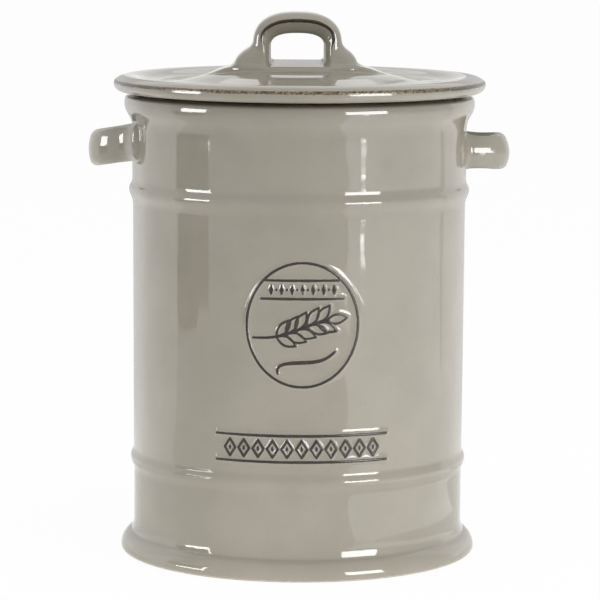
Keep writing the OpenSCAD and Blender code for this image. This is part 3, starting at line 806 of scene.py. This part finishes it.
def handle_piece():
    """The handle on its pad, with a fillet that runs out under the lid's glaze."""
    hole_loop, outer_loop, feet_loop = grip_loops()
    top = lid_outline()
    top = top[np.argmax(top[:, 0]):][::-1]

    def lid_top(x, y):
        return np.interp(np.hypot(x, y), top[:, 0], top[:, 1])

    def strap(x, y, z):
        hole = loop_distance(x, z, hole_loop)
        outer = joined(loop_distance(x, z, outer_loop), loop_distance(x, z, feet_loop), FOOT_BLEND)
        v = np.clip(z / SPRING, 0, 1)
        half = (GRIP_Y + (GRIP_FOOT_Y - GRIP_Y) * (1 - v) ** 2) / 2
        rise = np.clip((z - EDGE_Z) / EDGE_REACH, 0, 1)
        edge = GRIP_EDGE + GRIP_EDGE_RISE * rise * rise * (3 - 2 * rise)
        return strap_faces(hole, outer, y, half, edge, GRIP_CORNER, GRIP_CROWN)

    def solid(x, y, z):
        x, z = x - GRIP_X, z - GRIP_BASE_Z
        return joined(met(*strap(x, y, z), GRIP_ROUND), pad_field(x, y, z), GRIP_FILLET)

    def blended(x, y, z):
        return joined(solid(x, y, z), z - lid_top(x, y) + SINK, GRIP_FILLET)

    def bare(x, y, z):
        x, z = x - GRIP_X, z - GRIP_BASE_Z
        inner_face, outer_face = strap(x, y, z)
        fade = np.clip((z - GRIP_WEAR_Z) / GRIP_WEAR_FADE, 0, 1)
        return np.exp(-((inner_face - outer_face) / GRIP_WEAR_W) ** 2) * fade

    def cut(x, y, z):
        return np.maximum(solid(x, y, z) - GRIP_SKIRT, lid_top(x, y) - SKIRT_T - z)

    piece = modelled_piece("handle_glazed", blended, cut, bare,
                           (-GRIP_BOX_X, -GRIP_BOX_Y, TOP_Z - GRIP_BOX_DEPTH),
                           (GRIP_BOX_X, GRIP_BOX_Y, GRIP_BASE_Z + GRIP_H + BOX_MARGIN))
    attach(piece, "lid")
    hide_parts("lid_handle")
    return piece


def seal_piece(columns=180):
    """A ring with fins that rise outwards."""
    pitch = (SEAL_TOP_Z - SEAL_LOW_Z) / FIN_COUNT
    points = [[SEAL_IN_R, SEAL_TOP_Z], [SEAL_IN_R, SEAL_LOW_Z], [SEAL_OUT_R, SEAL_LOW_Z]]
    for i in range(FIN_COUNT):
        z = SEAL_LOW_Z + pitch * (i + 0.5) - FIN_RISE / 2
        points += [[SEAL_OUT_R, z - FIN_ROOT_T / 2], [FIN_R, z + FIN_RISE - FIN_ROOT_T / 4],
                   [FIN_R, z + FIN_RISE + FIN_ROOT_T / 4], [SEAL_OUT_R, z + FIN_ROOT_T / 2]]
    points += [[SEAL_OUT_R, SEAL_TOP_Z], [SEAL_IN_R, SEAL_TOP_Z]]
    rows = outline(points, SEAL_SOFT, turn=15.0, gap=1.5, step=0.04)[:-1]
    piece = turned_piece("seal_fins", rows, columns)
    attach(piece, "seal")
    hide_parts("lid_seal")
    return piece


# ------------------------ ears

def ear_loops(shape):
    """Outlines of a right ear's hole and outside, seen from above."""
    inside = WALL_R - EAR_ROOT_DEPTH
    a = np.linspace(-np.pi / 2, np.pi / 2, 33)
    hole_r = EAR_BEND_R - EAR_T
    hole = np.stack([EAR_TIP_X - EAR_BEND_R + hole_r * np.cos(a), hole_r * np.sin(a)], 1)
    hole = np.concatenate([[[inside, -hole_r]], hole, [[inside, hole_r]]])
    (flare_r, flare), (end_r, end) = shape["flare"], shape["end"]
    turned = sum(turn for _, turn in shape["bend"])
    moves = [(radius, -turn) for radius, turn in shape["bend"]]
    moves += [(flare_r, flare), (shape["pad"], 0), (end_r, turned - flare - end), (EAR_ROOT_L, 0)]
    front = walk(EAR_TIP_X, 0.0, -math.pi / 2, moves)
    front = np.concatenate([front, [[inside, front[-1, 1]]]])
    return hole, np.concatenate([front[::-1], (front * [1, -1])[1:]])


def ear_piece(side):
    """One ear, with a fillet that runs out under the neck's glaze."""
    shape = EARS[side]
    sign, middle_z = shape["sign"], shape["z"]
    hole_loop, outer_loop = ear_loops(shape)
    rows = jar_outline()
    outside = np.arange(len(rows)) <= np.argmax(rows[:, 1])
    rows = rows[outside & (rows[:, 1] > UP_RIB_Z)]

    def strap(x, y, z):
        x = sign * x
        rise = z - middle_z + shape["droop"] * (x - NECK_R) - shape["tilt"] * y
        hole, outer = loop_distance(x, y, hole_loop), loop_distance(x, y, outer_loop)
        q = np.clip((EAR_TIP_X - EAR_BEND_R - x) / EAR_SPREAD, 0, 1)
        half = (EAR_H + (EAR_ROOT_H - EAR_H) * q * q) / 2
        outer = outer + shape["lean"] * rise
        return strap_faces(hole, outer, rise, half, EAR_EDGE, shape["corner"], shape["crown"])

    def solid(x, y, z):
        return met(*strap(x, y, z), EAR_ROUND)

    def bare(x, y, z):
        inner_face, outer_face = strap(x, y, z)
        return EAR_WEAR * np.exp(-((inner_face - outer_face) / EAR_WEAR_W) ** 2)

    def neck(x, y, z):
        return np.hypot(x, y) - np.interp(z, rows[:, 1], rows[:, 0])

    def blended(x, y, z):
        return joined(solid(x, y, z), neck(x, y, z) + SINK, EAR_FILLET)

    def cut(x, y, z):
        return np.maximum(solid(x, y, z) - EAR_SKIRT, -SKIRT_T - neck(x, y, z))

    x_low, x_high = sorted((sign * (WALL_R - EAR_BOX_DEPTH), sign * (EAR_TIP_X + BOX_MARGIN)))
    piece = modelled_piece(side + "_ear_glazed", blended, cut, bare,
                           (x_low, -EAR_BOX_Y, middle_z - EAR_BOX_Z),
                           (x_high, EAR_BOX_Y, middle_z + EAR_BOX_Z))
    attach(piece, "jar")
    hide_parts(side + "_ear")
    return piece


# ------------------------ materials

class Shader:
    """Builds the nodes of a material or a world: add() makes a node and fills its inputs by name,
    or by number as _0, _1 and so on."""

    def __init__(self, owner):
        owner.use_nodes = True
        self.owner, self.tree = owner, owner.node_tree
        self.tree.nodes.clear()

    def add(self, kind, settings=None, **inputs):
        node = self.tree.nodes.new("ShaderNode" + kind)
        for key, value in (settings or {}).items():
            setattr(node, key, value)
        for key, value in inputs.items():
            self.fill(node.inputs[int(key[1:]) if key[0] == "_" else key.replace("_", " ")], value)
        return node

    def fill(self, socket, value):
        if isinstance(value, bpy.types.NodeSocket):
            self.tree.links.new(value, socket)
        else:
            socket.default_value = value

    def math(self, operation, a, b):
        return self.add("Math", {"operation": operation}, _0=a, _1=b).outputs[0]

    def band(self, value, low, high):
        """0 below low and 1 above high, smooth between."""
        settings = {"interpolation_type": "SMOOTHSTEP"}
        node = self.add("MapRange", settings, Value=value, From_Min=low, From_Max=high)
        return node.outputs["Result"]

    def mix(self, factor, a, b):
        """Colour between a and b, which are sockets or RGB triples."""
        a, b = (c if isinstance(c, bpy.types.NodeSocket) else (*c, 1.0) for c in (a, b))
        return self.add("Mix", {"data_type": "RGBA"}, _0=factor, _6=a, _7=b).outputs[2]

    def place(self):
        return self.add("TexCoord").outputs["Object"]

    def noise(self, coords, scale, detail=2.0, roughness=0.5):
        node = self.add("TexNoise", Vector=coords, Scale=scale, Detail=detail, Roughness=roughness)
        return node.outputs[0]

    def value(self, name):
        return self.add("Attribute", {"attribute_name": name}).outputs["Fac"]

    def seen(self):
        """1 for what the camera sees, also in a reflection or through something, and otherwise 0."""
        path = self.add("LightPath").outputs
        direct = self.math("MAXIMUM", path["Is Camera Ray"], path["Is Glossy Ray"])
        return self.math("MAXIMUM", direct, path["Is Transmission Ray"])

    def finish(self, surface):
        kind = "OutputWorld" if isinstance(self.owner, bpy.types.World) else "OutputMaterial"
        self.add(kind, Surface=surface)
        return self.owner


def new_shader(name):
    return Shader(bpy.data.materials.new(name))


def glaze_wear(s, at, breakup):
    """How far the glaze has worn off bends and bared arrises, and the colour under it: brown, with a
    painted lit gold where the lid's arris faces front and back.
    """
    bend, bare = s.value("bend"), s.value("bare")
    patch = s.noise(at, PATCH, 2.0)
    grain = s.math("ADD", s.math("MULTIPLY", breakup, 1.3), s.math("MULTIPLY", patch, 0.9))
    thin = s.band(s.math("MULTIPLY", bend, grain), 0.9, 1.5)
    crest = s.band(s.math("MULTIPLY", bare, grain), 0.42, 0.72)
    brown = s.mix(s.band(breakup, 0.35, 0.7), *WORN_BROWN)
    # Painted highlight: a lighter gold copy of the brown wear, for the lid's front and back
    painted_lit_gold = s.mix(s.band(s.noise(at, SPECK, 1.0), 0.38, 0.6), *PAINTED_LIT_WEAR)
    return s.math("MAXIMUM", thin, crest), s.mix(s.band(s.value("painted_gold_light"), 0.1, 0.7), brown, painted_lit_gold)


def glaze_bump(s, at):
    """Slow waves of the glaze, its fine peel and a few pits, as heights in metres."""
    waves, peel = s.noise(at, WAVES, 1.0), s.noise(at, PEEL, 1.0)
    height = s.math("ADD", s.math("MULTIPLY", waves, 0.00045), s.math("MULTIPLY", peel, 0.000004))
    pits = s.add("TexVoronoi", Vector=at, Scale=PITS).outputs["Distance"]
    height = s.math("ADD", height, s.math("MULTIPLY", s.band(pits, 0.0, 0.07), 0.00001))
    return s.add("Bump", Height=height, Strength=1.0, Distance=1.0).outputs["Normal"]


def glaze_material():
    """Glossy warm grey glaze: it pools in creases, thins to brown on edges, and stays off the foot."""
    s = new_shader("grey_glaze")
    at = s.place()
    cloud, breakup = s.noise(at, CLOUD, 3.0, 0.55), s.noise(at, BREAKUP, 3.0, 0.65)
    colour = s.mix(s.band(cloud, 0.3, 0.7), *GLAZE)
    fleck = s.band(s.noise(at, FLECK, 1.0), 0.66, 0.74)
    colour = s.mix(s.math("MULTIPLY", fleck, 0.12), colour, GLAZE_FLECK)
    pooled = s.band(s.math("MULTIPLY", s.value("bend"), -1.0), 0.05, 0.5)
    colour = s.mix(s.math("MULTIPLY", pooled, 0.35), colour, GLAZE_POOLED)
    worn, under = glaze_wear(s, at, breakup)
    colour = s.mix(worn, colour, under)
    ragged = s.math("MULTIPLY", s.math("SUBTRACT", breakup, 0.5), 0.7)
    raw = s.band(s.math("ADD", s.value("raw"), ragged), 0.45, 0.6)
    colour = s.mix(raw, colour, s.mix(s.noise(at, CLAY_GRAIN, 4.0), *CLAY))
    rough = s.math("ADD", 0.035, s.math("MULTIPLY", cloud, 0.04))
    rough = s.math("ADD", rough, s.math("MULTIPLY", worn, 0.16))
    rough = s.math("MAXIMUM", rough, s.math("MULTIPLY", raw, 0.75))
    surface = s.add("BsdfPrincipled", Base_Color=colour, Roughness=rough, Normal=glaze_bump(s, at),
                    IOR=1.52)
    return s.finish(surface.outputs[0])


def silicone_material():
    """Satin white silicone."""
    s = new_shader("seal_silicone")
    at = s.place()
    rough = s.math("ADD", 0.38, s.math("MULTIPLY", s.noise(at, 500.0), 0.15))
    surface = s.add("BsdfPrincipled", Base_Color=s.mix(s.noise(at, 90.0), *SILICONE),
                    Roughness=rough, IOR=1.42)
    return s.finish(surface.outputs[0])


def floor_material():
    """White paper. What sees it from the camera, or in a reflection, gets a clean white."""
    s = new_shader("white_floor")
    paper = s.add("BsdfDiffuse", Color=s.mix(s.noise(s.place(), 3.0), *PAPER)).outputs[0]
    white = s.add("Emission", Color=WHITE, Strength=1.0).outputs[0]
    share = s.math("MULTIPLY", s.seen(), FLOOR_MIRROR)
    return s.finish(s.add("MixShader", _0=share, _1=paper, _2=white).outputs[0])


# ------------------------ studio

def place_round(azimuth, distance, z):
    """Metres from the jar's axis. Azimuth 0 is in front and 90 on the right."""
    a = math.radians(azimuth)
    return Vector((math.sin(a) * distance, -math.cos(a) * distance, z))


def stage_mesh(name, points, faces, material):
    """A mesh in metres that isn't part of the object."""
    mesh = bpy.data.meshes.new(name)
    mesh.from_pydata(points, [], faces)
    mesh.materials.append(material)
    thing = bpy.data.objects.new(name, mesh)
    bpy.context.scene.collection.objects.link(thing)
    return thing


def area_light(name, shape, width, height, watts):
    """Area light that faces down and doesn't show in the gloss."""
    light = bpy.data.lights.new(name, "AREA")
    light.shape, light.size, light.size_y, light.energy = shape, width, height, watts
    thing = bpy.data.objects.new(name, light)
    thing.visible_camera = thing.visible_glossy = False
    bpy.context.scene.collection.objects.link(thing)
    return thing


def lamp(name, azimuth, distance, z, width, height, radiance):
    """Soft light that faces the jar."""
    watts = radiance * math.pi * width * height
    thing = area_light(name, "RECTANGLE", width, height, watts)
    thing.location = place_round(azimuth, distance, z)
    thing.rotation_mode = "QUATERNION"
    off = thing.location - Vector((0, 0, LAMP_AIM_Z))
    thing.rotation_quaternion = off.to_track_quat("Z", "Y")


def floor_glow():
    """Light off the brightly lit table round the jar, as a disc that faces up."""
    watts = GLOW_RADIANCE * math.pi * math.pi * GLOW_R ** 2
    thing = area_light("floor_glow", "DISK", 2 * GLOW_R, 2 * GLOW_R, watts)
    thing.location, thing.rotation_euler = (0, 0, GLOW_Z), (math.pi, 0, 0)


def floor():
    corners = [(x * FLOOR_HALF, y * FLOOR_HALF, 0) for x, y in ((-1, -1), (1, -1), (1, 1), (-1, 1))]
    stage_mesh("floor", corners, [(0, 1, 2, 3)], floor_material())


def card(name, azimuths, low, high, radiances):
    """Curved panel that only shows in the glaze: a softbox's face, a grey wall, a black flag or a
    bright stretch of table. It spans two arcs round the jar, each a distance and a height, and its
    radiance is graded from its first azimuth to its last."""
    count = CARD_STEPS + 1
    around = np.linspace(*azimuths, count)
    points = [place_round(a, distance, z) for distance, z in (low, high) for a in around]
    faces = [(i, i + 1, i + count + 1, i + count) for i in range(CARD_STEPS)]
    s = new_shader(name)
    glow = s.add("Emission", Color=WHITE, Strength=s.value("radiance")).outputs[0]
    panel = stage_mesh(name, points, faces, s.finish(glow))
    graded = np.tile(np.linspace(*radiances, count), 2).astype("f")
    panel.data.attributes.new("radiance", "FLOAT", "POINT").data.foreach_set("value", graded)
    panel.visible_camera = panel.visible_diffuse = panel.visible_shadow = False


def cards():
    for values in CARDS:
        card(*values)
    for name, azimuths, radiances in SIDE_CARDS:
        foot, top, near = (SIDE_AT, 0.0), (SIDE_AT, SIDE_TOP_Z), (SIDE_TABLE_AT, TABLE_Z)
        card(name + "_panel", azimuths, foot, top, radiances)
        card(name + "_table", azimuths, near, (SIDE_AT, TABLE_Z), radiances)
    for i, (low, high, radiance) in enumerate(GAPS):
        card("right_gap_%d" % i, GAP_AZIMUTHS, (GAP_AT, low), (GAP_AT, high), (radiance, radiance))


def world():
    """White where it is seen or mirrored. Everything else gets a plain fill, stronger from above."""
    s = Shader(bpy.data.worlds.new("studio"))
    seen = s.seen()
    up = s.add("SeparateXYZ", Vector=s.add("TexCoord").outputs["Generated"]).outputs["Z"]
    above = s.math("POWER", s.math("MAXIMUM", up, 0.0), 2.0)
    fill = s.math("ADD", FILL_SIDE, s.math("MULTIPLY", above, FILL_TOP))
    strength = s.math("ADD", s.math("MULTIPLY", fill, s.math("SUBTRACT", 1.0, seen)), seen)
    background = s.add("Background", Color=WHITE, Strength=strength)
    bpy.context.scene.world = s.finish(background.outputs[0])


def camera():
    data = bpy.data.cameras.new("camera")
    data.sensor_width = 36.0
    data.lens = FOCAL_PX / PHOTO_SIDE_PX * data.sensor_width
    data.clip_start, data.clip_end = 0.05, 50.0
    view = bpy.data.objects.new("camera", data)
    turn = math.radians(CAMERA_TURN)
    view.location = Vector((-math.sin(turn) * CAMERA_DISTANCE, -math.cos(turn) * CAMERA_DISTANCE,
                            CAMERA_HEIGHT)) * MM
    view.rotation_euler = (math.radians(90 - CAMERA_PITCH), math.radians(CAMERA_ROLL),
                           -math.radians(CAMERA_TURN + CAMERA_AIM))
    bpy.context.scene.collection.objects.link(view)
    bpy.context.scene.camera = view


# ------------------------ scene

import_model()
camera()
world()
floor()
for values in LAMPS:
    lamp(*values)
floor_glow()
cards()

glazed = [jar_piece(), ear_piece("left"), ear_piece("right"), lid_piece(), handle_piece()]
glaze = glaze_material()
for piece in glazed:
    piece.data.materials.append(glaze)
seal_piece().data.materials.append(silicone_material())

bpy.context.scene.view_settings.view_transform = "Standard"
